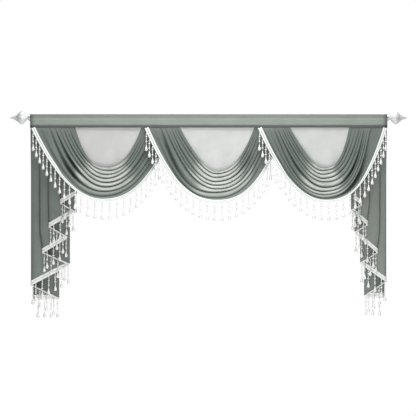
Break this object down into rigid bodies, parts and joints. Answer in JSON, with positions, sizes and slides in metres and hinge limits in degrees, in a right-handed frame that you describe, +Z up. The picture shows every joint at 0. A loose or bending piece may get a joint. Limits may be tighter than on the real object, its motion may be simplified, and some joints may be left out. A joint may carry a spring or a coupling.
{
  "type": "waterfall valance on a curtain rod",
  "caption": "Draped valance: overlapping swags over sheer panels, pleated cascades at both ends and a bead fringe, hung from a rod with bud finials.",
  "frame": {"origin": "on the rod's axis at mid length", "axes": "+X along the rod to the viewer's right, +Z up, the front faces -Y"},
  "size_m": [2.225, 0.1631, 1.1697],
  "materials": {
    "cloth": "fine twill with a soft sheen",
    "sheer": "plain voile",
    "trim": "woven tape with acrylic beads",
    "rod": "satin",
    "finial": "gloss"
  },
  "bodies": {
    "root": {"cascade_left": "cloth", "cascade_right": "cloth", "finial_left": "finial", "finial_right": "finial", "fringe_cascade_left": "trim", "fringe_cascade_right": "trim", "fringe_swag_left": "trim", "fringe_swag_middle": "trim", "fringe_swag_right": "trim", "header": "cloth", "rod": "rod", "sheer_left": "sheer", "sheer_middle": "sheer", "sheer_right": "sheer", "swag_left": "cloth", "swag_middle": "cloth", "swag_right": "cloth"}
  },
  "joints": []
}
